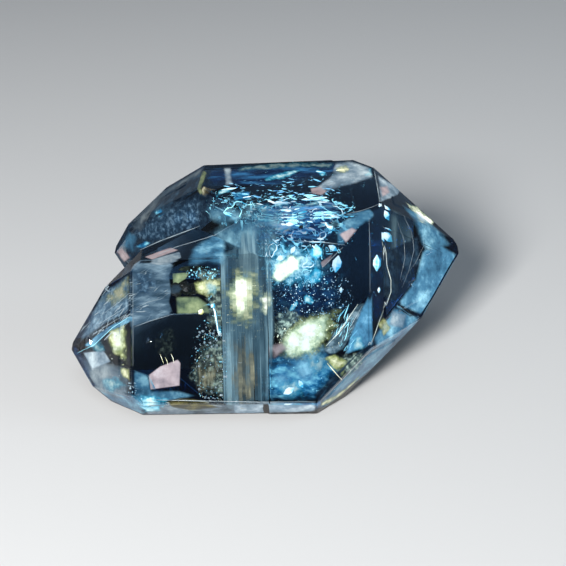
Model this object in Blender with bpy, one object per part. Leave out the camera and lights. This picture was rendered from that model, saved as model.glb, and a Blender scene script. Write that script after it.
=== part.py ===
"""Petroleum quartz: three clear quartz crystals grown together side by side.

The main crystal carries the right-hand tip, and the rear and front crystals carry one left-hand tip
each. They lie on a prism face, with their long axes along X. Every crystal face is given as
it would be read off a goniometer: the compass angle of its normal round the long axis, how far
the normal leans towards a tip, and how far the face stands from the crystals' centre. Compass
angles are counted from -Y, the viewer's side, up towards +Z, so 90 is the top and 270 the base.
Lengths in the tables are millimetres, and the finished mesh is in metres.
"""

import math

import bmesh
import bpy
from mathutils import Matrix, Vector

MILLIMETRE = 0.001
BLOCK_SIZE = 60.0
NODE_NAME = "quartz_crystals"

# Quartz angles, in degrees: six prism faces round the axis, and end faces leaning to a tip.
PRISM = 0.0
END_LEAN = 38.2
FRONT_COMPASS = 30.0

LEFT = -1
RIGHT = 1

# The main crystal, which carries the right-hand tip and rests on its base.
MAIN_CRYSTAL = {
    "prism_front": (FRONT_COMPASS, PRISM, RIGHT, 4.62),
    "prism_top": (87.5, -0.8, RIGHT, 5.06),
    "prism_back_upper": (150.0, -0.7, RIGHT, 5.54),
    "prism_back_lower": (210.0, PRISM, RIGHT, 3.35),
    "prism_base": (270.0, PRISM, RIGHT, 3.76),
    "prism_front_lower": (330.5, -0.8, RIGHT, 7.33),
    "left_front": (FRONT_COMPASS, 41.3, LEFT, 3.90),
    "left_top": (89.0, 37.8, LEFT, 6.40),
    "left_back_lower": (210.0, END_LEAN, LEFT, 2.70),
    "left_front_lower": (330.0, END_LEAN, LEFT, 6.20),
    "right_front": (FRONT_COMPASS, 40.2, RIGHT, 6.21),
    "right_top": (89.0, END_LEAN, RIGHT, 7.03),
    "right_back_upper": (150.5, 40.5, RIGHT, 6.68),
    "right_back_lower": (210.0, END_LEAN, RIGHT, 5.82),
    "right_base": (268.0, 39.3, RIGHT, 4.63),
    "right_front_lower": (330.0, 40.5, RIGHT, 6.60),
}

# The rear crystal, which carries the upper left tip. Its right-hand end lies in the main one.
REAR_CRYSTAL = {
    "prism_front": (FRONT_COMPASS, PRISM, RIGHT, 4.52),
    "prism_top": (87.5, -0.8, RIGHT, 5.10),
    "prism_back_upper": (150.0, -0.7, RIGHT, 5.58),
    "prism_back_lower": (210.0, PRISM, RIGHT, 3.31),
    "prism_base": (270.0, PRISM, RIGHT, 1.35),
    "prism_front_lower": (330.5, PRISM, RIGHT, 4.60),
    "left_front": (FRONT_COMPASS, 41.3, LEFT, 3.96),
    "left_top": (89.0, 37.8, LEFT, 6.47),
    "left_back_upper": (150.0, 39.2, LEFT, 8.11),
    "left_back_lower": (210.0, END_LEAN, LEFT, 8.20),
    "left_base": (270.0, END_LEAN, LEFT, 5.36),
    "left_front_lower": (330.0, END_LEAN, LEFT, 5.40),
    "right_front": (FRONT_COMPASS, 40.2, RIGHT, 5.40),
    "right_top": (89.0, END_LEAN, RIGHT, 6.20),
    "right_back_upper": (150.5, 40.5, RIGHT, 5.95),
    "right_back_lower": (210.0, END_LEAN, RIGHT, 5.00),
    "right_base": (268.0, 39.3, RIGHT, 3.60),
    "right_front_lower": (330.0, 40.5, RIGHT, 5.80),
}

# The front crystal, which carries the lower left tip. Its right-hand end lies in the main one.
FRONT_CRYSTAL = {
    "prism_front": (FRONT_COMPASS, PRISM, RIGHT, 4.57),
    "prism_top": (91.0, PRISM, RIGHT, 3.24),
    "prism_back_upper": (150.0, PRISM, RIGHT, 1.70),
    "prism_back_lower": (210.0, PRISM, RIGHT, 0.20),
    "prism_base": (270.0, PRISM, RIGHT, 3.73),
    "prism_front_lower": (330.5, -0.8, RIGHT, 7.29),
    "left_front": (31.0, 42.7, LEFT, 8.26),
    "left_top": (90.0, 41.4, LEFT, 6.92),
    "left_back_upper": (150.5, 36.9, LEFT, 3.89),
    "left_back_lower": (208.5, END_LEAN, LEFT, 5.85),
    "left_base": (270.0, 39.3, LEFT, 8.33),
    "left_front_lower": (333.0, 33.1, LEFT, 9.79),
    "right_front": (FRONT_COMPASS, 40.2, RIGHT, 5.70),
    "right_base": (268.0, 39.3, RIGHT, 4.20),
    "right_front_lower": (330.0, 40.5, RIGHT, 6.10),
}

# Worn tips: a small flat cut across each point, as the way it faces and its distance.
MAIN_TIP = ((0.98, -0.05, 0.18), 9.06)
REAR_TIP = ((-0.93, 0.30, 0.20), 9.43)
FRONT_TIP = ((-0.97, -0.05, 0.24), 10.03)

CRYSTALS = {
    "main": (MAIN_CRYSTAL, MAIN_TIP),
    "rear": (REAR_CRYSTAL, REAR_TIP),
    "front": (FRONT_CRYSTAL, FRONT_TIP),
}

# Growth layers: the crystal, the face that grew on, the height of the step, and how far its rim
# lies in from the edges.
LAYERS = (
    ("main", "right_front", 0.05, 0.62),
    ("main", "right_front_lower", 0.045, 0.40),
    ("main", "right_top", 0.04, 0.55),
    ("rear", "left_front", 0.04, 0.50),
    ("rear", "left_top", 0.045, 0.70),
    ("front", "left_front", 0.045, 0.55),
    ("front", "left_base", 0.04, 0.50),
)

# Striations across the front prism faces, as places along the axis and widths.
STRIATIONS = (
    (-2.92, 0.16),
    (-2.52, 0.11),
    (-2.18, 0.19),
    (-1.82, 0.10),
    (-1.42, 0.15),
    (-1.10, 0.12),
)
STRIATION_LENGTH = 30.0
STRIATION_SLOPE = 0.28

# Three-sided etch pits: the crystal, the face, a point near it, the radius and the turn.
PIT_DEPTH = 0.45
PITS = (
    ("main", "right_front", (7.23, -1.04, 2.24), 0.22, 20.0),
    ("main", "right_front", (6.37, -2.48, 1.19), 0.16, 75.0),
    ("main", "right_front_lower", (5.2, -3.4, -2.9), 0.20, 10.0),
    ("rear", "prism_top", (1.4, -0.6, 5.0), 0.18, 40.0),
    ("front", "left_front", (-8.6, -2.7, -1.6), 0.20, 35.0),
    ("front", "prism_front", (-6.4, -4.6, -0.4), 0.14, 5.0),
)

# A healed split that shows as a short dark crack on the right-hand front face.
SPLIT_PLACE = (5.92, -3.48, 0.22)
SPLIT_ALONG = (0.82, 0.31, -0.84)
SPLIT_SIZE = (1.15, 0.08, 0.30)


def face_normal(compass, lean, end):
    """Unit normal of a face from its compass angle and its lean towards one tip, in degrees."""
    around = math.radians(compass)
    tilt = math.radians(lean)
    ring = math.cos(tilt)
    return Vector((end * math.sin(tilt), -ring * math.cos(around), ring * math.sin(around)))


def crystal_planes(faces, tip):
    """The (normal, distance) pairs that bound one crystal."""
    planes = []
    for compass, lean, end, distance in faces.values():
        planes.append((face_normal(compass, lean, end), distance))
    direction, distance = tip
    planes.append((Vector(direction).normalized(), distance))
    return planes


def convex_body(planes):
    """A block cut down by each plane in turn, in millimetres."""
    body = bmesh.new()
    bmesh.ops.create_cube(body, size=BLOCK_SIZE)
    for normal, distance in planes:
        cut = bmesh.ops.bisect_plane(
            body,
            geom=body.verts[:] + body.edges[:] + body.faces[:],
            plane_co=normal * distance,
            plane_no=normal,
            clear_outer=True,
        )
        rim = [item for item in cut["geom_cut"] if isinstance(item, bmesh.types.BMEdge)]
        if rim:
            bmesh.ops.edgeloop_fill(body, edges=rim)
    bmesh.ops.recalc_face_normals(body, faces=body.faces[:])
    return body


def layer_planes(faces, grown_face, rise, rim):
    """The crystal's planes with one face moved out by the rise and the others in by the rim."""
    planes = []
    for name, (compass, lean, end, distance) in faces.items():
        step = rise if name == grown_face else -rim
        planes.append((face_normal(compass, lean, end), distance + step))
    return planes


def axes_on(normal, turn=0.0):
    """A frame whose Z is the normal and whose X runs as near the long axis as it can."""
    along = (Vector((1.0, 0.0, 0.0)) - normal * normal.x).normalized()
    frame = Matrix((along, normal.cross(along), normal)).transposed().to_4x4()
    return frame @ Matrix.Rotation(math.radians(turn), 4, "Z")


def striation_cutter(place, width):
    """A long bar whose lower corner cuts one shallow groove across the front prism face."""
    normal = face_normal(FRONT_COMPASS, PRISM, RIGHT)
    height = FRONT_CRYSTAL["prism_front"][3]
    corner = math.sqrt(0.5)
    shape = Matrix.Diagonal((width / 2 / corner, STRIATION_LENGTH, width * STRIATION_SLOPE / corner, 1.0))
    where = Matrix.Translation(normal * height + Vector((place, 0.0, 0.0)))
    cutter = bmesh.new()
    bmesh.ops.create_cube(
        cutter,
        size=1.0,
        matrix=where @ axes_on(normal) @ shape @ Matrix.Rotation(math.radians(45), 4, "Y"),
    )
    return cutter


def pit_cutter(face, near, radius, turn):
    """A three-sided point that cuts an etch pit of this radius where the point is nearest the face."""
    compass, lean, end, distance = face
    normal = face_normal(compass, lean, end)
    centre = Vector(near) + normal * (distance - normal.dot(Vector(near)))
    depth = radius * PIT_DEPTH
    cutter = bmesh.new()
    bmesh.ops.create_cone(
        cutter,
        cap_ends=True,
        segments=3,
        radius1=0.0,
        radius2=radius * 2,
        depth=depth * 2,
        matrix=Matrix.Translation(centre) @ axes_on(normal, turn),
    )
    bmesh.ops.remove_doubles(cutter, verts=cutter.verts[:], dist=1e-4)
    bmesh.ops.recalc_face_normals(cutter, faces=cutter.faces[:])
    return cutter


def split_cutter():
    """A thin slanting blade that opens the healed split."""
    along = Vector(SPLIT_ALONG).normalized()
    outward = face_normal(FRONT_COMPASS, END_LEAN, RIGHT)
    outward = (outward - along * outward.dot(along)).normalized()
    frame = Matrix((along, outward.cross(along), outward)).transposed().to_4x4()
    cutter = bmesh.new()
    bmesh.ops.create_cube(
        cutter,
        size=1.0,
        matrix=Matrix.Translation(SPLIT_PLACE) @ frame @ Matrix.Diagonal((*SPLIT_SIZE, 1.0)),
    )
    return cutter


def bounds_of(bodies):
    """Lowest and highest corner of some bodies."""
    points = [vertex.co for body in bodies for vertex in body.verts]
    low = Vector(min(point[axis] for point in points) for axis in range(3))
    high = Vector(max(point[axis] for point in points) for axis in range(3))
    return low, high


def add_object(name, body, to_origin):
    """Puts a body in the scene, in metres, moved so that the whole stands on the origin."""
    bmesh.ops.translate(body, verts=body.verts[:], vec=to_origin)
    bmesh.ops.scale(body, verts=body.verts[:], vec=(MILLIMETRE, MILLIMETRE, MILLIMETRE))
    mesh = bpy.data.meshes.new(name)
    body.to_mesh(mesh)
    body.free()
    made = bpy.data.objects.new(name, mesh)
    bpy.context.scene.collection.objects.link(made)
    return made


def combine(target, name, body, to_origin, operation):
    """Joins a body to the crystals or cuts it out of them, and keeps it as a hidden guide."""
    guide = add_object(name, body, to_origin)
    guide.hide_render = True
    guide.display_type = "WIRE"
    modifier = target.modifiers.new(name, "BOOLEAN")
    modifier.operation = operation
    modifier.object = guide


def clear_quartz_material():
    """Colourless to smoky-blue quartz, see-through and glossy."""
    material = bpy.data.materials.new("clear_quartz")
    material.use_nodes = True
    shader = material.node_tree.nodes["Principled BSDF"]
    shader.inputs["Base Color"].default_value = (0.80, 0.88, 0.96, 1.0)
    shader.inputs["Metallic"].default_value = 0.0
    shader.inputs["Roughness"].default_value = 0.03
    shader.inputs["IOR"].default_value = 1.544
    shader.inputs["Transmission Weight"].default_value = 1.0
    return material


def build_crystals():
    """The three crystals in one solid, with their growth layers, striations, pits and split."""
    bodies = {}
    for name, (faces, tip) in CRYSTALS.items():
        bodies[name] = convex_body(crystal_planes(faces, tip))
    low, high = bounds_of(bodies.values())
    to_origin = Vector((-(low.x + high.x) / 2, -(low.y + high.y) / 2, -low.z))

    crystals = add_object(NODE_NAME, bodies.pop("main"), to_origin)
    crystals.data.materials.append(clear_quartz_material())
    for name, body in bodies.items():
        combine(crystals, f"{name}_crystal", body, to_origin, "UNION")
    for name, face, rise, rim in LAYERS:
        layer = convex_body(layer_planes(CRYSTALS[name][0], face, rise, rim))
        combine(crystals, f"{name}_layer_{face}", layer, to_origin, "UNION")
    for number, (place, width) in enumerate(STRIATIONS, 1):
        combine(crystals, f"striation_{number}", striation_cutter(place, width), to_origin, "DIFFERENCE")
    for number, (name, face, near, radius, turn) in enumerate(PITS, 1):
        pit = pit_cutter(CRYSTALS[name][0][face], near, radius, turn)
        combine(crystals, f"pit_{number}", pit, to_origin, "DIFFERENCE")
    combine(crystals, "healed_split", split_cutter(), to_origin, "DIFFERENCE")


def main():
    for old in list(bpy.data.objects):
        bpy.data.objects.remove(old, do_unlink=True)
    build_crystals()


if __name__ == "__main__":
    main()
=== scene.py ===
"""Petroleum quartz: the looks of the crystal group, its inclusions and its studio.

The group is loaded as a fixed frame. The quartz skin is a cleaned copy of its solid. An inclusion is
placed by the point of the photograph where it is seen: the line of sight is bent at the crystal face
in front of it, as light is, and followed into the quartz to the inclusion's depth. Depths and sizes
are real lengths.
"""

import math
import random

import bpy
import numpy as np
from mathutils import Euler, Matrix, Vector, noise


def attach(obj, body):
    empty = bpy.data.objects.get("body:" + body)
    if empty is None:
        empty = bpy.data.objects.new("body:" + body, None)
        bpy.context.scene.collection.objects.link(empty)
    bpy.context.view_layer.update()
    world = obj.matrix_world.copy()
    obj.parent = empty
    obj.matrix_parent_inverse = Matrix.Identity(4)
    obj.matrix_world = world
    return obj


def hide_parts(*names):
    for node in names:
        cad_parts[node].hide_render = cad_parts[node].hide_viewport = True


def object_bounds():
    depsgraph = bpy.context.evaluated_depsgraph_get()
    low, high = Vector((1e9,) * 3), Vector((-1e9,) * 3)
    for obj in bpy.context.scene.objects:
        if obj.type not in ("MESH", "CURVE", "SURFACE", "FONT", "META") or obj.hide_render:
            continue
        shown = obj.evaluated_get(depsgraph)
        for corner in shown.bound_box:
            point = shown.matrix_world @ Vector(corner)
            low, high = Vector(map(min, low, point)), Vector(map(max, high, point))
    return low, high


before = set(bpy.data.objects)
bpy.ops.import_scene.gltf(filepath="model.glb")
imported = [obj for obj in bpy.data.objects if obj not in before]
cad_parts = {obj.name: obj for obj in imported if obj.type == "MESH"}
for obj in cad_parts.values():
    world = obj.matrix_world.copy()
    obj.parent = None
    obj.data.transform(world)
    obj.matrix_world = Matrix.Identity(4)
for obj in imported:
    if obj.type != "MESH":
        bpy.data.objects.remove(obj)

bl_info = {
    "name": "Petroleum Quartz",
    "version": (1, 0, 0),
    "blender": (4, 5, 0),
    "location": "3D View > Sidebar > Quartz",
    "description": "Builds a petroleum quartz crystal group with its oil films, cavities and veils",
    "category": "Add Mesh",
}

MM = 0.001
NODE = "quartz_crystals"
BODY = "root"
CAD_LOW, CAD_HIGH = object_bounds()
CENTRE = (CAD_LOW + CAD_HIGH) / 2

# The photograph's frame and viewpoint.
PHOTO_SIDE = 566
SENSOR_WIDTH = 36.0
VIEW_LENS = 82.7
VIEW_TARGET = Vector((0.86, 0.87, 3.76)) * MM
VIEW_DISTANCE = 66.7 * MM
VIEW_AZIMUTH = math.radians(0.94)
VIEW_ELEVATION = math.radians(29.44)
VIEW_ROLL = math.radians(1.83)

QUARTZ_IOR = 1.544

# Directions in which a point is probed to tell whether it lies in the quartz, and the step past a face.
PROBES = (Vector((0.31, 0.82, -0.48)), Vector((-0.74, 0.21, 0.64)), Vector((0.12, -0.55, 0.83)))
PROBE_STEP = 0.0001 * MM

# Films that glow: oil, healed cracks, dark veils of painted shade, and painted sheens and highlights
# on faces and rims: name, finish, depth in mm, softness of the border, brightness, and the corners of
# the outline in the photograph, each as x,y.
FILMS = (
    ("top_dusk", "night", 0.3, 0.5, 0.5, "206,168 300,162 345,161 338,174 262,189 206,186"),
    # A painted highlight along the top edge.
    ("top_rim", "cyan", 0.15, 0.9, 0.25, "236,166 262,163 300,161 336,162 334,169 300,168 262,171 238,172"),
    ("top_pale_band", "grey_haze", 0.25, 0.8, 1.0, "223,167 231,167 234,186 225,186"),
    ("top_streak_long", "cyan", 0.25, 0.7, 0.9, "262,177 288,170 304,169 286,179 266,182"),
    ("top_streak_short", "cyan", 0.25, 0.6, 1.1, "314,171 318,169 328,174 322,177"),
    ("top_sheen", "grey_haze", 0.25, 0.25, 1.3,
     "335,162 350,160 371,166 374,178 345,187 322,194 312,190 330,176"),
    ("top_gold_spot", "gold", 0.2, 0.9, 0.8, "334,166 346,163 352,169 346,175 336,174"),
    ("top_cyan_spot", "cyan", 0.2, 0.9, 0.8, "362,167 372,168 373,176 364,177"),
    ("top_blush", "blush", 0.2, 0.4, 0.8, "310,188 320,186 328,191 322,196 311,194"),
    ("right_top_sheen", "grey_haze", 0.2, 0.3, 1.5, "377,174 402,189 398,196 380,203"),
    ("right_top_blush", "blush", 0.15, 0.6, 0.9, "378,186 388,185 392,193 382,198"),
    ("right_edge_sheen", "blue_haze", 0.25, 0.5, 1.1, "402,200 424,212 455,245 432,250 416,228"),
    ("right_gold_glint", "white", 0.15, 0.8, 1.3, "404,202 417,205 435,220 432,228 417,222"),
    ("swirl_haze", "night", 0.9, 0.7, 1.0, "246,214 262,196 312,190 344,203 346,218 330,236 300,246 258,240"),
    ("swirl_mist", "blue_haze", 0.6, 0.9, 0.5, "232,208 254,194 280,197 284,230 266,260 238,248"),
    ("swirl_white_left", "cyan", 0.8, 0.9, 1.0, "255,209 268,201 272,210 262,219"),
    ("swirl_white_upper", "cyan", 0.8, 0.9, 1.2, "271,203 288,200 290,206 274,208"),
    ("swirl_white_line", "cyan", 0.7, 0.8, 0.8, "272,208 300,205 326,197 322,204 296,212 274,213"),
    ("swirl_white_middle", "white", 1.3, 0.7, 1.0, "273,229 287,221 296,227 284,235"),
    ("swirl_void", "night", 0.45, 0.4, 0.45, "321,203 330,200 338,205 342,212 332,213 324,208"),
    ("swirl_shade", "shade", 0.45, 0.8, 1.0, "326,222 336,217 344,224 338,232 328,230"),
    ("glow_heart", "white", 1.2, 0.6, 1.8, "268,278 275,262 290,252 304,256 302,270 290,278 278,284"),
    ("glow_heart_cyan", "cyan", 1.6, 0.95, 1.5, "258,268 266,238 298,238 324,246 328,276 304,292 268,290"),
    ("glow_heart_right", "cyan", 1.3, 0.5, 1.5, "303,276 309,271 316,265 323,271 322,283 311,285"),
    ("blue_glow_heart", "blue_storm", 5.0, 0.95, 0.4,
     "262,262 276,250 336,250 350,262 350,318 336,330 276,330 262,318"),
    ("cavity_film", "cyan", 1.0, 0.5, 1.9, "308,254 311,246 317,243 323,248 324,257 316,261 310,259"),
    ("heart_blush", "blush", 1.2, 0.5, 0.7, "320,262 334,252 330,262 322,269"),
    ("pale_diagonal", "blue_haze", 0.5, 0.4, 1.0, "336,232 342,220 371,208 374,216 356,232 344,246 336,246"),
    ("pale_diagonal_blush", "blush", 0.4, 0.5, 1.0, "338,234 352,226 358,230 346,244"),
    ("star_night", "night", 2.6, 0.7, 0.38, "272,288 300,280 338,266 342,298 326,316 284,330"),
    ("star_flower", "cyan", 1.2, 0.45, 1.1, "302,297 306,294 312,296 315,301 312,306 305,303"),
    ("star_stroke", "cyan", 1.2, 0.35, 1.2, "289,310 291,305 297,300 299,303 294,310 290,312"),
    ("glow_lower", "white", 1.3, 0.55, 1.35, "275,350 288,328 306,318 332,312 326,340 314,354 292,360"),
    ("glow_lower_gold", "gold", 1.4, 0.7, 1.0, "273,350 284,320 312,308 346,306 338,338 318,360 290,366"),
    ("glow_lower_blush", "blush", 1.2, 0.8, 0.8, "268,348 282,338 292,350 274,360"),
    ("glow_lower_fibres", "mosaic", 1.2, 0.8, 2.0, "271,330 276,308 298,306 304,322 280,344"),
    ("slab_scratched", "steel", 1.0, 0.25, 0.8, "322,352 334,330 360,302 366,303 356,326 344,350 332,356"),
    ("wedge_bright", "blue_haze", 0.6, 0.3, 1.8, "370,292 371,346 344,356 350,334 362,306"),
    ("wedge_glow", "cyan", 0.5, 0.9, 0.8, "350,336 362,334 366,348 352,354"),
    ("blue_lower", "blue_storm", 1.8, 0.7, 1.35, "264,352 288,350 328,346 345,372 318,403 262,403"),
    ("blue_lower_mist", "blue_haze", 1.4, 0.9, 1.1, "272,362 290,346 326,342 342,364 318,386 272,388"),
    ("cyan_lower", "cyan", 1.4, 0.8, 0.8, "274,392 280,378 298,374 308,384 304,398 284,402"),
    ("teal_lower", "cyan", 1.3, 0.95, 0.6, "304,358 320,349 334,362 328,380 310,378"),
    ("gold_block", "gold", 0.7, 0.3, 1.0, "322,358 335,353 350,361 342,378"),
    ("block_crumbs", "mosaic", 0.6, 0.6, 1.6, "340,354 366,350 364,366 346,382"),
    ("right_haze", "blue_haze", 0.35, 0.2, 1.3,
     "422,250 440,243 458,254 455,268 440,295 424,317 396,304 414,281"),
    ("right_low_haze", "blue_haze", 0.35, 0.3, 1.15, "394,306 422,318 404,338 376,348 372,338 386,318"),
    ("right_grey", "grey_haze", 0.3, 0.4, 1.3, "391,309 408,314 404,330 388,326"),
    ("right_gold", "gold", 0.3, 0.5, 0.6, "376,324 384,316 392,328 384,338"),
    ("right_dark_streaks", "streaks", 0.6, 0.6, 0.3, "384,212 402,210 418,236 412,276 396,300 382,300"),
    ("right_shade", "shade", 0.5, 0.2, 1.0, "386,250 420,234 421,266 408,293 392,305 384,290"),
    # Painted highlights along the lower right rim, with painted shade beside them.
    ("rim_low", "blue_haze", 0.3, 0.3, 0.7, "320,403 371,351 423,319 402,344 356,384 321,412"),
    ("rim_shade", "shade", 0.6, 0.2, 1.0, "318,400 370,349 424,317 398,346 352,384 322,408"),
    ("rim_low_gold", "gold", 0.25, 0.7, 0.6, "320,404 345,388 362,372 360,379 340,397 322,408"),
    ("bottom_strip", "grey_haze", 0.25, 0.3, 0.8, "146,404 236,404 240,414 146,416"),
    ("bottom_strip_pale", "grey_haze", 0.25, 0.3, 1.5, "232,404 316,404 316,412 234,415"),
    ("bottom_glint", "cyan", 0.2, 0.9, 0.9, "142,405 160,404 162,412 144,414"),
    ("suture_left", "streaks", 0.8, 0.4, 0.85, "219,262 236,232 240,330 238,408 222,408"),
    ("suture_middle", "streaks", 0.85, 0.4, 0.7, "234,232 256,226 258,330 254,408 236,408"),
    ("suture_right", "streaks", 0.8, 0.4, 0.8, "252,226 272,224 276,330 268,408 252,408"),
    ("gold_suture", "white", 0.55, 0.8, 1.4,
     "227,292 232,278 246,272 257,281 258,298 251,312 241,318 230,308"),
    ("gold_suture_rim", "gold", 0.6, 0.9, 0.8, "220,292 234,262 260,266 266,298 252,334 228,322"),
    ("gold_beside", "white", 0.6, 0.9, 1.1, "259,298 268,286 276,300 268,318 260,312"),
    ("stain_low", "rust", 0.65, 0.95, 0.75, "226,340 246,334 262,350 262,400 244,412 226,404"),
    ("stain_curl", "rust", 0.6, 0.95, 0.9, "248,352 258,350 262,380 254,404 246,400 252,376"),
    ("seam_brown", "rust", 0.7, 0.9, 0.9, "188,368 212,350 226,370 218,396 198,396"),
    # The speckled films over the rear crystal are dark veils of painted shade with a fine grain.
    ("rear_frost", "speckle", 0.3, 0.6, 1.0, "126,236 150,214 176,200 202,190 204,222 180,238 150,248"),
    ("rear_shade", "shade", 0.55, 0.12, 1.0,
     "124,234 128,227 160,213 200,189 226,204 204,228 150,258 126,262"),
    ("rear_top_shade", "shade", 0.35, 0.12, 1.0, "131,225 165,190 203,167 200,186 162,211"),
    # A painted highlight along the rear crystal's top edge.
    ("rear_rim", "grey_haze", 0.15, 0.9, 0.4, "126,228 165,189 203,166 205,171 167,195 131,232"),
    ("rear_blue_spot_low", "blue_storm", 0.2, 0.7, 1.0, "134,247 144,240 152,242 144,250"),
    ("rear_blue_spot_high", "blue_storm", 0.2, 0.7, 1.0, "153,212 161,208 167,213 159,218"),
    ("rear_frost_bright", "speckle", 0.3, 0.8, 1.9, "170,214 186,204 200,210 202,226 190,232 172,230"),
    ("rear_edge", "green", 0.15, 0.7, 0.5, "194,194 203,170 207,172 200,192"),
    ("rear_red", "rust", 0.25, 0.5, 1.4, "197,192 202,186 214,187 206,198"),
    ("rear_streak", "cyan", 0.25, 0.8, 1.0, "216,198 218,190 232,187 233,191 220,195"),
    ("rear_blue_dots", "blue_storm", 0.3, 0.7, 1.3, "230,192 250,190 252,200 234,202"),
    ("rear_bubbles", "blue_haze", 0.5, 0.7, 0.7, "204,202 226,200 246,206 244,220 222,226 206,218"),
    ("rear_pale", "blue_haze", 0.4, 0.5, 1.2, "190,248 212,232 228,232 226,262 186,262"),
    ("seam_haze", "blue_haze", 0.5, 0.6, 0.7, "206,232 240,214 264,216 262,262 232,262"),
    ("suture_dusk", "streaks", 0.45, 0.7, 0.35, "226,244 258,238 262,262 250,272 228,268"),
    ("ledge_blush", "blush", 0.2, 0.4, 0.8, "143,257 170,247 180,250 152,260"),
    ("ledge_grey", "grey_haze", 0.2, 0.3, 1.0, "146,262 152,259 180,251 182,258 166,264"),
    ("rear_tip", "blush", 0.2, 0.6, 0.7, "115,252 122,246 132,258 124,263"),
    ("rear_tip_haze", "blue_haze", 0.25, 0.6, 0.8, "118,246 128,230 140,236 134,256"),
    ("window_frost", "frost", 0.35, 0.12, 1.05, "131,262 176,262 170,276 172,292 170,302 174,314 131,328"),
    # A speckled dark veil of painted shade over part of the window.
    ("window_dusk", "speckle", 0.3, 0.7, 1.3, "132,270 152,270 160,284 150,298 133,298"),
    ("left_frost", "frost", 0.35, 0.3, 1.3, "76,346 98,296 130,271 131,313 108,324 84,341"),
    ("left_upper_glow", "gold", 0.28, 0.95, 0.35, "98,302 112,286 130,274 131,300 114,308"),
    ("left_pale_strip", "blue_haze", 0.3, 0.4, 1.3, "82,346 108,326 131,315 131,322 106,334 94,348"),
    ("window_speckle", "mosaic", 1.2, 0.9, 0.18, "156,332 176,322 178,350 166,363 154,352"),
    ("left_gold", "gold", 0.6, 0.6, 1.25, "108,330 131,316 131,366 116,356 106,346"),
    ("left_gold_core", "white", 0.5, 0.9, 1.05, "109,332 124,323 129,340 124,354 113,354"),
    ("left_blue_spot", "cyan", 0.4, 0.8, 0.6, "88,346 100,338 108,350 98,360"),
    ("left_low_mass", "grey_haze", 0.45, 0.4, 0.85, "77,356 100,358 131,368 131,396 112,402 92,388"),
    ("left_low_front", "blue_haze", 0.5, 0.35, 0.9,
     "133,369 148,374 152,390 178,390 200,396 168,402 140,402 133,396"),
    ("left_low_cyan", "cyan", 0.4, 0.9, 1.4, "134,398 152,394 170,400 158,414 140,410"),
    ("left_low_face", "blue_haze", 0.25, 0.3, 0.8, "96,389 131,396 142,403 143,418 112,402"),
    ("left_low_facet_gold", "gold", 0.28, 0.6, 0.8, "117,366 130,368 130,382 122,377"),
    ("left_low_facet_cyan", "cyan", 0.28, 0.7, 0.6, "96,378 116,372 128,386 108,396"),
    ("left_low_facet_pale", "grey_haze", 0.28, 0.25, 1.5, "82,352 104,350 112,362 92,370"),
    ("window_blush", "blush", 0.8, 0.12, 1.35, "148,375 160,366 178,359 181,363 180,386 150,390"),
    ("lens_olive", "olive", 0.15, 0.4, 0.6, "166,402 180,399 206,402 222,408 190,411 172,408"),
    ("oil_green_upper", "green", 0.7, 0.2, 1.0, "172,273 190,272 186,279 173,287"),
    ("oil_dark_upper", "pitch", 0.6, 0.4, 1.0, "176,271 182,266 206,265 212,269 192,272"),
    ("oil_green_lower", "green", 0.7, 0.3, 1.0, "175,296 198,296 208,303 212,314 176,315"),
    ("oil_bubble_haze", "frost", 0.4, 0.6, 0.55, "168,289 172,284 180,284 183,289 180,294 172,295"),
    ("oil_gold_glint", "gold", 0.55, 0.6, 1.1, "193,282 204,280 208,288 203,295 196,294"),
    ("oil_blue_cluster", "cyan", 0.5, 0.9, 0.8, "205,284 212,279 219,286 216,296 207,295"),
    ("oil_gold_cluster", "gold", 0.6, 0.9, 1.2, "194,281 208,275 224,278 224,292 208,298 196,293"),
    ("seam_mosaic", "mosaic", 0.8, 0.5, 1.0, "204,338 226,330 228,400 204,396 186,378"),
    ("seam_mosaic_upper", "mosaic", 0.8, 0.6, 1.1, "188,268 224,266 228,330 206,330 204,290"),
)

# Opaque bubbles in the oil: photograph place, depth in mm, half sizes in the photograph.
BUBBLES = (
    (187, 288, 0.6, 6.5, 7.0),
    (192, 289, 0.6, 5.0, 6.0),
    (175, 289, 0.65, 7.5, 7.0),
    (301, 227, 0.6, 2.2, 1.8),
)

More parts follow.
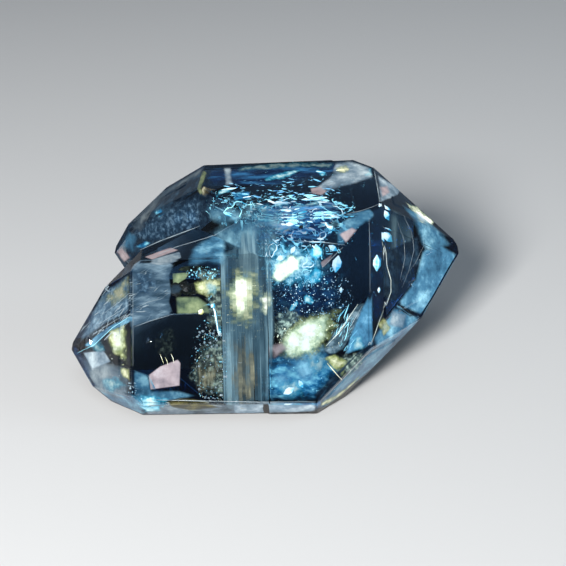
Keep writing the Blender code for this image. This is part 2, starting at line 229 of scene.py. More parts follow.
# Single inclusions: shape, finish, photograph place, depth in mm, length in mm, lean in degrees.
SINGLES = (
    ("cavity", "star", (337, 264), 2.2, 0.84, 80),
    ("cavity", "star", (377, 263), 0.6, 0.8, 88),
    ("cavity", "star", (388, 237), 1.2, 0.7, 140),
    ("cavity", "star", (388, 209), 0.8, 0.55, 120),
    ("cavity", "star", (333, 248), 1.8, 0.5, 150),
    ("cavity", "star", (317, 251), 1.6, 0.7, 100),
    ("cavity", "star", (341, 290), 2.0, 0.28, 85),
    ("cavity", "star", (379, 290), 0.6, 0.28, 85),
    ("cavity", "star", (281, 258), 1.5, 0.5, 20),
    ("cavity", "star", (293, 250), 1.5, 0.4, 60),
    ("cavity", "star", (289, 391), 1.3, 0.6, 30),
    ("cavity", "star", (301, 384), 1.3, 0.4, 120),
    ("ring", "star", (326, 205), 0.9, 0.9, -30),
    ("ring", "star", (272, 250), 1.2, 0.8, 80),
    ("ring", "cyan", (233, 211), 0.5, 1.3, 0),
    ("ring", "star", (308, 264), 1.2, 0.7, 20),
    ("ring", "star", (322, 236), 1.2, 0.55, 60),
    ("ring", "cyan", (306, 272), 1.2, 0.5, 0),
    ("lump", "gold", (201, 312), 0.5, 0.26, 0),
    ("lump", "star", (213, 306), 0.5, 0.22, 0),
    ("lens", "star", (287, 226), 0.9, 1.0, 25),
    ("lens", "star", (281, 229), 1.0, 0.6, 0),
    ("lens", "star", (281, 203), 0.9, 0.9, 0),
    ("lens", "star", (264, 209), 0.9, 0.55, 60),
    ("lens", "star", (297, 209), 0.9, 1.3, 2),
    ("lens", "star", (313, 199), 0.7, 1.2, 4),
    ("lens", "star", (321, 172), 0.2, 0.55, -20),
    ("lens", "star", (312, 229), 0.9, 0.4, -20),
    ("lens", "star", (314, 209), 0.7, 0.6, 0),
    ("lens", "star", (318, 198), 0.4, 0.95, 5),
    ("scratch", "star", (317, 242), 0.6, 0.8, 0),
    ("lens", "star", (229, 189), 0.2, 0.8, 12),
    ("lens", "star", (247, 197), 0.2, 0.45, 15),
    ("lens", "gold", (340, 170), 0.2, 0.45, 10),
    ("lens", "gold", (243, 292), 0.9, 0.9, 80),
)

# Glowing lines of cracks, and painted highlights along crystal edges: finish, half width in mm, depth in
# mm, and the points of the path in the photograph, each as x,y.
LINES = (
    ("clay", 0.02, 0.45, "383,240 386,252 387,266 391,280 391,292 387,303 380,320 376,332 371,345"),
    ("pitch", 0.045, 0.2, "396,305 402,307 408,311 414,316"),
    ("ash", 0.018, 0.7, "286,240 300,241 318,242 330,243 345,245"),
    ("ash", 0.014, 0.15, "369,218 370,250 370,292"),
    ("cyan", 0.014, 0.12, "77,353 94,345 112,328 130,316"),
    ("ash", 0.012, 0.05, "133,276 133,320 133,366"),
    ("ash", 0.018, 0.3, "134,327 150,321 174,314"),
    ("ash", 0.022, 0.15, "150,258 176,247 206,238 236,227 262,219"),
    ("ash", 0.022, 0.15, "140,250 160,241 184,232 200,226"),
    ("ash", 0.018, 0.15, "346,214 360,211 372,207 379,204"),
    ("ash", 0.018, 0.1, "374,170 377,184 380,202"),
    ("ash", 0.02, 0.12, "146,402 200,402 260,402 316,401"),
    ("ash", 0.022, 0.12, "320,402 345,377 371,350 398,334 422,319"),
    ("ash", 0.018, 0.3, "343,247 334,256 322,268"),
    ("gold", 0.025, 0.4, "327,363 333,370 340,378"),
    ("clay", 0.015, 0.3, "164,404 180,399 206,402 222,407"),
    ("clay", 0.015, 0.3, "166,405 186,410 206,411 222,408"),
    ("gold", 0.015, 0.3, "160,354 162,359 164,364"),
    ("gold", 0.015, 0.3, "165,357 167,361 168,365"),
    ("gold", 0.018, 0.3, "171,354 173,358 174,363"),
    ("star", 0.05, 0.6, "212,304 215,312 217,324 219,336"),
    ("star", 0.024, 0.4, "334,201 339,205 343,210 344,214 341,216 334,215 325,212"),
    ("cyan", 0.018, 0.4, "316,204 324,208 332,213"),
    ("clay", 0.02, 0.6, "358,304 346,322 332,340"),
    ("ash", 0.018, 0.6, "362,306 352,324 338,346"),
    ("clay", 0.02, 0.6, "350,318 338,334 326,346"),
    ("ash", 0.014, 0.25, "92,336 106,326 126,314"),
    ("ash", 0.014, 0.25, "96,326 112,316 130,304"),
    ("ash", 0.014, 0.25, "100,316 114,306 128,294"),
    ("ash", 0.014, 0.3, "136,308 148,302 164,298"),
    ("ash", 0.014, 0.3, "140,291 148,288 156,287"),
    ("ash", 0.014, 0.25, "410,214 420,228 424,244 420,262 412,282"),
    ("ash", 0.012, 0.25, "404,216 412,232 414,250 409,270 402,288"),
    ("ash", 0.012, 0.25, "398,222 404,240 405,258 400,280"),
)

# Swarms of small inclusions: name, shape, finish, middle and half size in the photograph, depths in
# mm, number, sizes in mm, how strongly they line up, and their lean in degrees.
SWARMS = (
    ("fluid_strokes_upper", "lens", "cyan", (294, 208), (50, 14), (0.5, 0.9), 50, (0.15, 0.7), 0.9, 0),
    ("fluid_bright_strokes", "lens", "star", (292, 208), (40, 12), (0.5, 0.9), 22, (0.2, 0.75), 0.93, 0),
    ("fluid_bright_threads", "thread", "star", (298, 216), (48, 20), (0.5, 1.5), 44, (0.3, 1.0), 0.85, 0),
    ("fluid_strokes_lower", "lens", "star", (292, 232), (44, 18), (0.8, 2.2), 40, (0.08, 0.45), 0.7, 0),
    ("fluid_strokes_top", "lens", "blue", (286, 188), (60, 12), (0.2, 1.0), 110, (0.1, 0.5), 0.9, 0),
    ("fluid_threads_upper", "thread", "cyan", (300, 212), (50, 18), (0.8, 2.4), 70, (0.4, 1.1), 0.9, 0),
    ("fluid_threads_middle", "thread", "cyan", (294, 240), (48, 22), (1.0, 3.0), 60, (0.25, 0.8), 0.6, 0),
    ("fluid_threads_rear", "thread", "cyan", (236, 208), (34, 16), (0.3, 1.4), 60, (0.2, 0.6), 0.5, 0),
    ("fluid_rings", "ring", "cyan", (300, 258), (42, 36), (1.2, 3.5), 60, (0.16, 0.48), 0.3, 0),
    ("fluid_rings_lower", "ring", "blue", (314, 300), (34, 26), (2.0, 5.0), 6, (0.12, 0.3), 0.2, 0),
    ("fluid_rings_rear", "ring", "cyan", (245, 210), (36, 18), (0.6, 2.4), 26, (0.15, 0.5), 0.5, 0),
    ("star_dust_middle", "fleck", "star", (310, 295), (44, 30), (1.5, 5.0), 620, (0.015, 0.085), 0.0, 0),
    ("star_sparks", "fleck", "star", (314, 296), (34, 22), (0.8, 2.5), 110, (0.055, 0.13), 0.0, 0),
    ("star_dust_upper", "fleck", "cyan", (294, 225), (66, 36), (1.0, 6.0), 700, (0.015, 0.08), 0.3, 0),
    ("star_dust_top", "fleck", "cyan", (300, 182), (66, 18), (0.4, 3.0), 260, (0.015, 0.09), 0.8, 0),
    ("gold_dust_seam", "fleck", "gold", (248, 300), (24, 44), (0.6, 2.0), 240, (0.012, 0.05), 0.0, 0),
    ("gold_dust_left", "fleck", "gold", (118, 345), (9, 32), (0.5, 1.6), 70, (0.015, 0.08), 0.0, 0),
    ("gold_dust_lower", "fleck", "gold", (308, 336), (38, 16), (0.8, 2.6), 240, (0.02, 0.12), 0.2, 0),
    ("crumbs_left_seam", "lump", "ash", (211, 362), (17, 42), (0.5, 1.6), 150, (0.03, 0.15), 0.2, 0),
    ("crumbs_seam_low", "fleck", "ash", (240, 376), (22, 34), (0.5, 2.0), 80, (0.015, 0.06), 0.2, 0),
    ("blue_dust_lower", "fleck", "cyan", (300, 380), (36, 28), (1.0, 4.0), 260, (0.015, 0.08), 0.0, 0),
    ("dust_left_low", "fleck", "star", (122, 398), (26, 16), (0.4, 2.0), 160, (0.015, 0.08), 0.4, 0),
    ("dust_right", "fleck", "star", (420, 280), (30, 48), (0.4, 2.5), 170, (0.012, 0.06), 0.0, 0),
    ("threads_left", "thread", "ash", (106, 312), (24, 24), (0.3, 1.2), 26, (0.25, 0.7), 0.7, 38),
    ("threads_seam", "thread", "cyan", (212, 318), (8, 26), (0.6, 2.0), 22, (0.15, 0.45), 0.0, 0),
    ("blue_crumbs_seam", "fleck", "cyan", (210, 360), (20, 42), (0.5, 2.2), 180, (0.02, 0.1), 0.0, 0),
    ("gold_crumbs_seam", "fleck", "gold", (212, 366), (18, 40), (0.5, 2.2), 90, (0.02, 0.09), 0.0, 0),
    ("blue_crumbs_pocket", "fleck", "cyan", (202, 273), (16, 7), (0.35, 0.8), 110, (0.03, 0.12), 0.0, 0),
    ("scratches_left", "scratch", "ash", (104, 312), (26, 26), (0.2, 0.7), 120, (0.15, 0.9), 0.97, 38),
    ("scratches_window", "scratch", "ash", (150, 294), (20, 26), (0.3, 0.9), 90, (0.15, 0.8), 0.97, 24),
    ("scratches_slab", "scratch", "cyan", (345, 331), (13, 20), (0.4, 0.9), 60, (0.15, 0.8), 0.97, 58),
)


def read_points(text):
    """The points of an outline or path that is written as x,y pairs."""
    return [tuple(int(number) for number in pair.split(",")) for pair in text.split()]


def view_axes():
    """The camera's right, up and backward directions."""
    level = math.cos(VIEW_ELEVATION)
    across = math.sin(VIEW_AZIMUTH) * level
    forward = -math.cos(VIEW_AZIMUTH) * level
    back = Vector((across, forward, math.sin(VIEW_ELEVATION)))
    right = Vector((0, 0, 1)).cross(back).normalized()
    up = back.cross(right)
    turn = Matrix.Rotation(-VIEW_ROLL, 3, back)
    return turn @ right, turn @ up, back


VIEW_RIGHT, VIEW_UP, VIEW_BACK = view_axes()
FACING = Matrix((VIEW_RIGHT, VIEW_UP, VIEW_BACK)).transposed()
EYE = VIEW_TARGET + VIEW_BACK * VIEW_DISTANCE
PIXELS_PER_LENS = VIEW_LENS / SENSOR_WIDTH * PHOTO_SIDE


def sight_line(px, py):
    """Direction from the eye through a point of the photograph."""
    across = (px - PHOTO_SIDE / 2) / PIXELS_PER_LENS
    upward = (PHOTO_SIDE / 2 - py) / PIXELS_PER_LENS
    return (VIEW_RIGHT * across + VIEW_UP * upward - VIEW_BACK).normalized()


def bend(direction, normal):
    """Direction of a line of sight after it enters the quartz."""
    ratio = 1 / QUARTZ_IOR
    cosine = -direction.dot(normal)
    inner = math.sqrt(1 - ratio * ratio * (1 - cosine * cosine))
    return (direction * ratio + normal * (ratio * cosine - inner)).normalized()


class CrystalFace:
    """The plane of the crystal face seen at one point of the photograph."""

    def __init__(self, skin, px, py):
        hit, self.place, self.normal, _ = skin.ray_cast(EYE, sight_line(px, py))
        if not hit:
            raise RuntimeError(f"no crystal face is seen at {px}, {py}")

    def below(self, px, py, depth):
        """The point at a depth in mm along the bent line of sight."""
        sight = sight_line(px, py)
        reach = (self.place - EYE).dot(self.normal) / sight.dot(self.normal)
        return EYE + sight * reach + bend(sight, self.normal) * depth * MM


def deselect_all():
    """Leaves nothing selected, so that an operator acts only on what comes next."""
    if bpy.context.mode != "OBJECT":
        bpy.ops.object.mode_set(mode="OBJECT")
    bpy.ops.object.select_all(action="DESELECT")


def make_active(piece):
    """Selects one object alone."""
    deselect_all()
    piece.select_set(True)
    bpy.context.view_layer.objects.active = piece


def is_inside(skin, spot):
    """Whether a point lies in the quartz: most lines from it cross the skin an odd number of times."""
    odd = 0
    for probe in PROBES:
        crossings = 0
        hit, place, _, _ = skin.ray_cast(spot, probe)
        while hit:
            crossings += 1
            hit, place, _, _ = skin.ray_cast(place + probe * PROBE_STEP, probe)
        odd += crossings % 2
    return odd > len(PROBES) / 2


def keep_inside(piece, skin, margin):
    """Moves the points of an inclusion that would break through a crystal face back under it."""
    for point in piece.data.vertices:
        _, place, _, _ = skin.closest_point_on_mesh(point.co)
        away = point.co - place
        if not is_inside(skin, point.co):
            point.co = place - away.normalized() * margin
        elif away.length < margin:
            point.co = place + away.normalized() * margin


def feed(tree, socket, value):
    """Sets an input to a number or colour, or joins it to another node's output."""
    if isinstance(value, bpy.types.NodeSocket):
        tree.links.new(value, socket)
    else:
        socket.default_value = value


def add_node(tree, kind, **inputs):
    """A new node whose named inputs are fed with the given values or outputs."""
    node = tree.nodes.new(kind)
    for name, value in inputs.items():
        feed(tree, node.inputs[name.replace("_", " ")], value)
    return node


def ramp(tree, source, stops):
    """A colour ramp with the given places and colours."""
    node = add_node(tree, "ShaderNodeValToRGB", Fac=source)
    band = node.color_ramp
    while len(band.elements) < len(stops):
        band.elements.new(0.5)
    for element, (place, colour) in zip(band.elements, stops):
        element.position = place
        element.color = (*colour, 1.0)
    return node.outputs["Color"]


def arithmetic(tree, operation, first, second):
    """One sum on two sockets or numbers."""
    node = tree.nodes.new("ShaderNodeMath")
    node.operation = operation
    for socket, value in zip(node.inputs, (first, second)):
        feed(tree, socket, value)
    return node.outputs["Value"]


def new_material(name):
    """A node material that isn't sampled as a lamp."""
    material = bpy.data.materials.new(name)
    material.use_nodes = True
    material.cycles.emission_sampling = "NONE"
    return material


def plain_shader(material):
    """The Principled shader of a material that uses nodes."""
    return material.node_tree.nodes["Principled BSDF"]


def dress(piece, material):
    """Gives a piece one material and ties it to the crystal body."""
    piece.data.materials.clear()
    piece.data.materials.append(material)
    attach(piece, BODY)


def quartz_material(settings):
    """Clear quartz: glossy, see-through, and smoky blue in the depth."""
    material = new_material("clear_quartz_depth")
    tree = material.node_tree
    shader = plain_shader(material)
    shader.inputs["Base Color"].default_value = (1.0, 1.0, 1.0, 1.0)
    shader.inputs["Roughness"].default_value = settings.gloss_roughness
    shader.inputs["IOR"].default_value = QUARTZ_IOR
    shader.inputs["Transmission Weight"].default_value = 1.0
    absorption = tree.nodes.new("ShaderNodeVolumeAbsorption")
    absorption.inputs["Color"].default_value = (*settings.depth_colour, 1.0)
    absorption.inputs["Density"].default_value = settings.depth_density
    feed(tree, tree.nodes["Material Output"].inputs["Volume"], absorption.outputs["Volume"])
    return material


class QuartzSkinSettings(bpy.types.PropertyGroup):
    """Finish of the crystal faces and the tint of the quartz."""

    merge_distance: bpy.props.FloatProperty(
        name="Merge distance", description="Corners closer than this are one", default=0.0005 * MM,
        unit="LENGTH",
    )
    flat_angle: bpy.props.FloatProperty(
        name="Flat angle", description="Triangles that lie flatter than this are one crystal face",
        default=math.radians(0.5), subtype="ANGLE",
    )
    sharp_angle: bpy.props.FloatProperty(
        name="Sharp angle", description="Faces that meet more sharply than this have a worn edge",
        default=math.radians(15), subtype="ANGLE",
    )
    least_face: bpy.props.FloatProperty(
        name="Least face", description="The edges of smaller faces stay sharp", default=0.9 * MM * MM,
        unit="AREA",
    )
    edge_width: bpy.props.FloatProperty(
        name="Edge width", description="Width of the worn line along a crystal edge", default=0.03 * MM,
        unit="LENGTH",
    )
    gloss_roughness: bpy.props.FloatProperty(
        name="Gloss roughness", description="Roughness of a clear face", default=0.0
    )
    depth_colour: bpy.props.FloatVectorProperty(
        name="Depth colour", description="Tint of light that has crossed the quartz", subtype="COLOR",
        default=(0.28, 0.50, 0.66),
    )
    depth_density: bpy.props.FloatProperty(
        name="Depth density", description="Share of the missing colour taken up in each metre", default=600.0
    )


class QUARTZ_OT_skin(bpy.types.Operator):
    """Cleans a copy of the crystals' solid into flat faces with finely worn edges"""

    bl_idname = "petroleum_quartz.skin"
    bl_label = "Quartz skin"

    def execute(self, context):
        settings = context.scene.quartz_skin
        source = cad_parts[NODE]
        skin = source.copy()
        skin.data = source.data.copy()
        skin.name = "quartz_skin"
        skin.parent = None
        skin.matrix_world = Matrix.Identity(4)
        context.scene.collection.objects.link(skin)
        make_active(skin)
        bpy.ops.object.mode_set(mode="EDIT")
        bpy.ops.mesh.select_all(action="SELECT")
        bpy.ops.mesh.remove_doubles(threshold=settings.merge_distance)
        bpy.ops.mesh.dissolve_limited(angle_limit=settings.flat_angle)
        bpy.ops.mesh.select_mode(type="EDGE")
        bpy.ops.mesh.select_all(action="DESELECT")
        bpy.ops.mesh.edges_select_sharp(sharpness=settings.sharp_angle)
        bpy.ops.object.mode_set(mode="OBJECT")
        beside_small = set()
        for face in skin.data.polygons:
            if face.area < settings.least_face:
                beside_small.update(face.edge_keys)
        for edge in skin.data.edges:
            if edge.key in beside_small:
                edge.select = False
        bpy.ops.object.mode_set(mode="EDIT")
        bpy.ops.mesh.bevel(offset=settings.edge_width, segments=1, affect="EDGES", clamp_overlap=False)
        bpy.ops.mesh.select_mode(type="VERT")
        bpy.ops.object.mode_set(mode="OBJECT")
        bpy.ops.object.shade_flat()
        dress(skin, quartz_material(settings))
        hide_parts(NODE)
        return {"FINISHED"}


# Glow colours of the finishes that a film can have, from where it is thin to where it is thick. The
# shade finish and the speckled finish are dark veils of painted shade, and night is painted shade that
# glows blue where it is thick.
FILM_COLOURS = {
    "night": ((0.002, 0.008, 0.04), (0.01, 0.05, 0.17), (0.08, 0.38, 0.8)),
    "speckle": ((0.002, 0.008, 0.02), (0.016, 0.045, 0.085), (0.15, 0.26, 0.36)),
    "blue_haze": ((0.02, 0.08, 0.16), (0.08, 0.25, 0.4), (0.42, 0.8, 0.95)),
    "blue_storm": ((0.001, 0.02, 0.09), (0.02, 0.22, 0.45), (0.42, 0.95, 1.0)),
    "grey_haze": ((0.05, 0.09, 0.12), (0.17, 0.24, 0.3), (0.5, 0.58, 0.6)),
    "frost": ((0.03, 0.07, 0.11), (0.085, 0.155, 0.225), (0.32, 0.46, 0.55)),
    "streaks": ((0.02, 0.06, 0.1), (0.13, 0.26, 0.34), (0.5, 0.76, 0.84)),
    "steel": ((0.01, 0.02, 0.03), (0.1, 0.18, 0.23), (0.6, 0.78, 0.85)),
    "cyan": ((0.0, 0.11, 0.28), (0.04, 0.5, 0.74), (0.7, 1.0, 1.0)),
    "gold": ((0.05, 0.1, 0.08), (0.5, 0.55, 0.2), (1.0, 1.0, 0.66)),
    "white": ((0.12, 0.38, 0.36), (0.76, 0.84, 0.56), (1.0, 1.0, 0.94)),
    "blush": ((0.38, 0.3, 0.32), (0.54, 0.42, 0.43), (0.7, 0.6, 0.6)),
    "rust": ((0.02, 0.014, 0.008), (0.12, 0.1, 0.05), (0.46, 0.44, 0.3)),
    "olive": ((0.008, 0.01, 0.004), (0.08, 0.075, 0.02), (0.42, 0.38, 0.14)),
    "green": ((0.1, 0.16, 0.12), (0.3, 0.38, 0.2), (0.55, 0.62, 0.32)),
    "pitch": ((0.0, 0.0, 0.0), (0.004, 0.006, 0.006), (0.06, 0.08, 0.05)),
    "shade": ((0.0, 0.003, 0.008), (0.005, 0.014, 0.03), (0.04, 0.09, 0.14)),
    "mosaic": ((0.008, 0.014, 0.018), (0.058, 0.092, 0.09), (0.5, 0.62, 0.5)),
}

# Patterns of the same finishes: grain of the cloud in each metre, its stretch, how much hotter the
# middle of a film is, its mean cover and how much the cloud changes that.
FILM_PATTERNS = {
    "night": (1600, (0.5, 1.6, 1.6), 0.1, 0.75, 1.0),
    "speckle": (3800, (1, 1, 1), 0.1, 0.85, 0.8),
    "blue_haze": (900, (1, 1, 1), 0.1, 0.75, 0.8),
    "blue_storm": (1900, (0.8, 1.3, 1.3), 0.1, 0.8, 1.2),
    "grey_haze": (900, (1, 1, 1), 0.1, 0.8, 1.0),
    "frost": (1500, (0.5, 2.2, 1.4), 0.05, 0.78, 0.6),
    "streaks": (1100, (2.4, 0.16, 0.16), 0.1, 0.62, 1.5),
    "steel": (2600, (0.8, 1.2, 1.2), 0.0, 0.95, 0.6),
    "cyan": (2800, (1, 1, 1), 0.6, 0.7, 1.6),
    "gold": (2600, (1, 1, 1), 0.6, 0.75, 2.0),
    "white": (2100, (1, 1, 1), 0.8, 1.0, 2.6),
    "blush": (1400, (1, 1, 1), 0.1, 0.9, 0.8),
    "rust": (2400, (2.0, 0.5, 0.5), 0.2, 0.6, 2.0),
    "olive": (2400, (0.5, 1.8, 1.8), 0.0, 0.95, 0.5),
    "green": (1500, (1, 1, 1), 0.1, 0.85, 0.8),
    "pitch": (2000, (1, 1, 1), 0.0, 0.95, 0.3),
    "shade": (1600, (1, 1, 1), 0.0, 0.92, 0.6),
    "mosaic": (4200, (1, 1, 1), 0.1, 0.72, 1.4),
}


# How a film is drawn: detail, roughness and mean of its cloud pattern, how ragged the cloud makes the
# border, how much the cloud changes the heat and the heat of its mean, how far in the warmer middle
# begins, the heats of the three colours, and the glow of a film whose brightness is 1.
CLOUD_DETAIL = 8.0
CLOUD_ROUGHNESS = 0.62
CLOUD_MEAN = 0.5
BORDER_RAGGEDNESS = 1.6
CLOUD_HEAT = 1.8
MEAN_HEAT = 0.5
CORE_BORDER = 0.4
FILM_HEATS = (0.15, 0.5, 0.9)
FILM_GLOW = 1.3


def film_material(finish, softness, brightness):
    """A glowing film: its colour and cover follow a cloud pattern and thin out towards its border."""
    grain, stretch, core, cover, contrast = FILM_PATTERNS[finish]
    material = new_material(f"{finish}_film")
    tree = material.node_tree
    tree.nodes.remove(plain_shader(material))
    place = add_node(tree, "ShaderNodeTexCoord")
    stretched = add_node(tree, "ShaderNodeMapping", Vector=place.outputs["Object"], Scale=stretch)
    cloud = add_node(
        tree, "ShaderNodeTexNoise", Vector=stretched.outputs["Vector"], Scale=grain,
        Detail=CLOUD_DETAIL, Roughness=CLOUD_ROUGHNESS,
    )
    centred = arithmetic(tree, "SUBTRACT", cloud.outputs["Fac"], CLOUD_MEAN)

    inner = add_node(tree, "ShaderNodeAttribute")
    inner.attribute_name = "inner"
    ragged = arithmetic(tree, "MULTIPLY", centred, softness * softness * BORDER_RAGGEDNESS)
    inward = arithmetic(tree, "ADD", inner.outputs["Fac"], ragged)
    border = add_node(tree, "ShaderNodeMapRange", Value=inward, From_Max=softness)
    border.interpolation_type = "SMOOTHSTEP"

    core_reach = arithmetic(tree, "SUBTRACT", inner.outputs["Fac"], CORE_BORDER)
    warm = arithmetic(tree, "MULTIPLY", core_reach, core)
    cloudy = arithmetic(tree, "ADD", arithmetic(tree, "MULTIPLY", centred, CLOUD_HEAT), MEAN_HEAT)
    heat = arithmetic(tree, "ADD", cloudy, warm)
    colour = ramp(tree, heat, tuple(zip(FILM_HEATS, FILM_COLOURS[finish])))
    swing = arithmetic(tree, "ADD", arithmetic(tree, "MULTIPLY", centred, contrast), cover)
    thinned = arithmetic(tree, "MULTIPLY", swing, border.outputs["Result"])
    alpha = add_node(tree, "ShaderNodeClamp", Value=thinned)

    glow = add_node(tree, "ShaderNodeEmission", Color=colour, Strength=brightness * FILM_GLOW)
    clear = add_node(tree, "ShaderNodeBsdfTransparent")
    mix = add_node(tree, "ShaderNodeMixShader", Fac=alpha.outputs["Result"])
    feed(tree, mix.inputs[1], clear.outputs["BSDF"])
    feed(tree, mix.inputs[2], glow.outputs["Emission"])
    feed(tree, tree.nodes["Material Output"].inputs["Surface"], mix.outputs["Shader"])
    return material


def border_distance(spot, outline):
    """How far inside an outline a point lies."""
    nearest = math.inf
    for start, end in zip(outline, (*outline[1:], outline[0])):
        along = Vector(end) - Vector(start)
        share = min(max((spot - Vector(start)).dot(along) / along.length_squared, 0.0), 1.0)
        nearest = min(nearest, (Vector(start) + along * share - spot).length)
    return nearest


class FilmSettings(bpy.types.PropertyGroup):
    """The glowing films: oil, healed cracks, painted shade and painted highlights."""

    cuts: bpy.props.IntProperty(name="Film cuts", description="Cuts along each edge of a film", default=7)
    swell: bpy.props.FloatProperty(
        name="Swell", description="How far a film swells, as a share of its depth", default=0.35
    )
    swell_size: bpy.props.FloatProperty(
        name="Swell size", description="Distance between the swells of a film", default=0.9 * MM,
        unit="LENGTH",
    )
    margin: bpy.props.FloatProperty(
        name="Film margin", description="Least quartz over a film", default=0.05 * MM, unit="LENGTH"
    )


class QUARTZ_OT_films(bpy.types.Operator):
    """Lays the glowing films under the crystal faces: oil, healed cracks, painted shade and painted
    highlights
    """

    bl_idname = "petroleum_quartz.films"
    bl_label = "Oil films"

    def execute(self, context):
        settings = context.scene.quartz_films
        skin = bpy.data.objects["quartz_skin"]
        for name, finish, depth, softness, brightness, corners in FILMS:
            outline = read_points(corners)
            middle = sum((Vector(corner) for corner in outline), Vector((0, 0))) / len(outline)
            face = CrystalFace(skin, *middle)
            deselect_all()
            bpy.ops.mesh.primitive_circle_add(vertices=len(outline), radius=1, fill_type="TRIFAN")
            film = context.object
            film.name = name
            for point in film.data.vertices:
                on_border = round(point.co.length) == 1
                turn = round(math.atan2(point.co.x, point.co.y) / math.tau * len(outline)) % len(outline)
                spot = Vector(outline[turn]) if on_border else middle
                point.co = (*spot, 0)
            bpy.ops.object.mode_set(mode="EDIT")
            bpy.ops.mesh.select_all(action="SELECT")
            bpy.ops.mesh.subdivide(number_cuts=settings.cuts)
            bpy.ops.object.mode_set(mode="OBJECT")
            deepest = max(border_distance(point.co.xy, outline) for point in film.data.vertices)
            inner = film.data.attributes.new("inner", "FLOAT", "POINT")
            for point, fade in zip(film.data.vertices, inner.data):
                px, py, _ = point.co
                fade.value = border_distance(point.co.xy, outline) / deepest
                flat = face.below(px, py, depth)
                wave = noise.noise(flat / settings.swell_size) * settings.swell * depth
                point.co = face.below(px, py, depth + wave)
            keep_inside(film, skin, settings.margin)
            dress(film, film_material(finish, softness, brightness))
        return {"FINISHED"}


# Glow colours of the small inclusions, from the side in painted shade to the side with the painted highlight.
GLINT_COLOURS = {
    "cyan": ((0.003, 0.03, 0.09), (0.02, 0.32, 0.54), (0.42, 0.90, 1.0)),
    "blue": ((0.002, 0.012, 0.05), (0.02, 0.15, 0.45), (0.30, 0.75, 1.0)),
    "star": ((0.004, 0.07, 0.18), (0.08, 0.55, 0.82), (0.90, 1.0, 1.0)),
    "gold": ((0.10, 0.12, 0.05), (0.66, 0.64, 0.24), (1.0, 1.0, 0.78)),
    "clay": ((0.02, 0.02, 0.015), (0.20, 0.22, 0.17), (0.80, 0.88, 0.80)),
    "ash": ((0.02, 0.03, 0.04), (0.09, 0.12, 0.14), (0.28, 0.34, 0.37)),
    "pitch": ((0.0, 0.0, 0.0), (0.0, 0.0, 0.0), (0.006, 0.006, 0.004)),
}


# How a small inclusion is drawn: its body without the glow, the strength of the glow, the fixed way to a
# painted light and what a side turned to it adds to the heat as a painted highlight, the grain of the
# pattern, and the colours' heats.
GLINT_BODY = (0.004, 0.006, 0.008, 1.0)
GLINT_ROUGHNESS = 0.3
GLINT_GLOW = 1.8
PAINTED_LIGHT_WAY = (-0.45, -0.55, 0.70)
LIT_HEAT = 0.42
GLINT_GRAIN = 1800.0
GLINT_HEATS = (0.25, 0.55, 0.85)


def glint_material(finish):
    """An inclusion that glows with a painted highlight on the sides turned to a fixed way and painted shade
    on the others.
    """
    material = new_material(f"{finish}_glint")
    tree = material.node_tree
    shader = plain_shader(material)
    shader.inputs["Base Color"].default_value = GLINT_BODY
    shader.inputs["Roughness"].default_value = GLINT_ROUGHNESS
    shader.inputs["Emission Strength"].default_value = GLINT_GLOW
    place = add_node(tree, "ShaderNodeTexCoord")
    # Painted highlight and shade: how far each side faces a fixed way to the light, not to any lamp.
    toward = add_node(tree, "ShaderNodeVectorMath")
    toward.operation = "DOT_PRODUCT"
    feed(tree, toward.inputs[0], place.outputs["Normal"])
    feed(tree, toward.inputs[1], PAINTED_LIGHT_WAY)
    cloud = add_node(tree, "ShaderNodeTexNoise", Vector=place.outputs["Object"], Scale=GLINT_GRAIN)
    lit = arithmetic(tree, "MULTIPLY", toward.outputs["Value"], LIT_HEAT)
    heat = arithmetic(tree, "ADD", lit, cloud.outputs["Fac"])
    colour = ramp(tree, heat, tuple(zip(GLINT_HEATS, GLINT_COLOURS[finish])))
    feed(tree, shader.inputs["Emission Color"], colour)
    return material


# Small shapes are modelled about one unit long, mostly along X.
SHAPE_RADIUS = 0.5
FLECK_SHAPE = (1.0, 0.7, 0.4)
RELIEF = 0.5
LUMP_GRAIN = 2.2
LENS_GRAIN = 5
LENS_WIDTH = 0.26
SCRATCH_WIDTH = 0.07
LENS_FLATNESS = 0.5
CAVITY_RADIUS = 0.29
CAVITY_BARREL = 0.30
CAVITY_POINT = 0.35
CAVITY_TIP = 0.10
END_FACING = 0.9
RING_GRAIN = 2.4
RING_BEND = 0.9
RING_WIDTH = 0.62
THREAD_HEADING = 0.5
THREAD_STEPS = 7
THREAD_STEP = 0.14
THREAD_TURN = 0.8
THREAD_RISE = 0.3
THREAD_WIDTHS = (0.6, 1.6)


def take_seed():
    """The corners and faces of the object just modelled, which is then removed."""
    piece = bpy.context.object
    corners = np.array([point.co for point in piece.data.vertices])
    faces = [list(face.vertices) for face in piece.data.polygons]
    mesh = piece.data
    bpy.data.objects.remove(piece)
    bpy.data.meshes.remove(mesh)
    return corners, faces


def model_fleck():
    """A flat crumb."""
    deselect_all()
    bpy.ops.mesh.primitive_ico_sphere_add(subdivisions=1, radius=SHAPE_RADIUS)
    bpy.ops.object.mode_set(mode="EDIT")
    bpy.ops.transform.resize(value=FLECK_SHAPE)
    bpy.ops.object.mode_set(mode="OBJECT")
    return take_seed()


def model_lump(turn):
    """A rough grain."""
    deselect_all()
    bpy.ops.mesh.primitive_ico_sphere_add(subdivisions=2, radius=SHAPE_RADIUS)
    piece = bpy.context.object
    for point in piece.data.vertices:
        point.co *= 1 + RELIEF * noise.noise(point.co * LUMP_GRAIN + Vector((turn, 0, 0)))
    return take_seed()


def model_lens(width):
    """A long flat droplet, or a scratch when it is narrow."""
    deselect_all()
    bpy.ops.mesh.primitive_ico_sphere_add(subdivisions=2, radius=SHAPE_RADIUS)
    piece = bpy.context.object
    for point in piece.data.vertices:
        point.co.y *= width * (1 + RELIEF * noise.noise(Vector((point.co.x * LENS_GRAIN, 0, 0))))
        point.co.z *= width * LENS_FLATNESS
    return take_seed()


